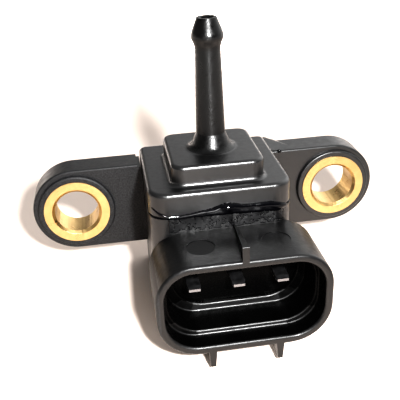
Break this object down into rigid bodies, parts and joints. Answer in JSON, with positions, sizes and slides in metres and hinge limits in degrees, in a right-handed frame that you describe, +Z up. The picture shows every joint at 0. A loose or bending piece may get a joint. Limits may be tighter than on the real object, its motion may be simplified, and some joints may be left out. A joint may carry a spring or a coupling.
{
  "type": "manifold absolute pressure sensor",
  "caption": "Intake manifold pressure sensor with a barbed hose stub, a rectangular plug socket and ears with brass bushings.",
  "frame": {"origin": "midway between the two fixing holes, on the mounting face", "axes": "+X from the left ear to the right ear seen from the plug side, +Y out of the mounting face, +Z up along the hose stub"},
  "size_m": [0.053, 0.0271, 0.0423],
  "materials": {
    "black_plastic": "moulded satin",
    "brass": "turned",
    "tinned_metal": "tin plated",
    "black_adhesive": "wet gloss",
    "board_green": "satin",
    "solder": "bright",
    "package_plastic": "matte",
    "silicon": "polished",
    "clear_glass": "clear",
    "clear_gel": "clear soft gel",
    "capacitor_ceramic": "matte",
    "resistor_black": "matte",
    "seal_rubber": "matte",
    "filter_white": "porous",
    "gold": "bright"
  },
  "bodies": {
    "root": {"adhesive_bead": "black_adhesive", "bond_wire_left_front": "gold", "bond_wire_left_rear": "gold", "bond_wire_right_front": "gold", "bond_wire_right_rear": "gold", "bushing_left": "brass", "bushing_right": "brass", "capacitor_left": "capacitor_ceramic", "capacitor_rear": "capacitor_ceramic", "capacitor_right": "capacitor_ceramic", "circuit_board": "board_green", "cover": "black_plastic", "glass_pedestal": "clear_glass", "housing": "black_plastic", "package_cup": "package_plastic", "package_lead_left_front": "tinned_metal", "package_lead_left_rear": "tinned_metal", "package_lead_right_front": "tinned_metal", "package_lead_right_rear": "tinned_metal", "package_lid": "package_plastic", "port_filter": "filter_white", "pressure_chip": "silicon", "protective_gel": "clear_gel", "resistor_middle": "resistor_black", "resistor_rear": "resistor_black", "seal_ring": "seal_rubber", "signal_converter": "package_plastic", "solder_left": "solder", "solder_middle": "solder", "solder_right": "solder", "terminal_left": "tinned_metal", "terminal_middle": "tinned_metal", "terminal_right": "tinned_metal"}
  },
  "joints": []
}
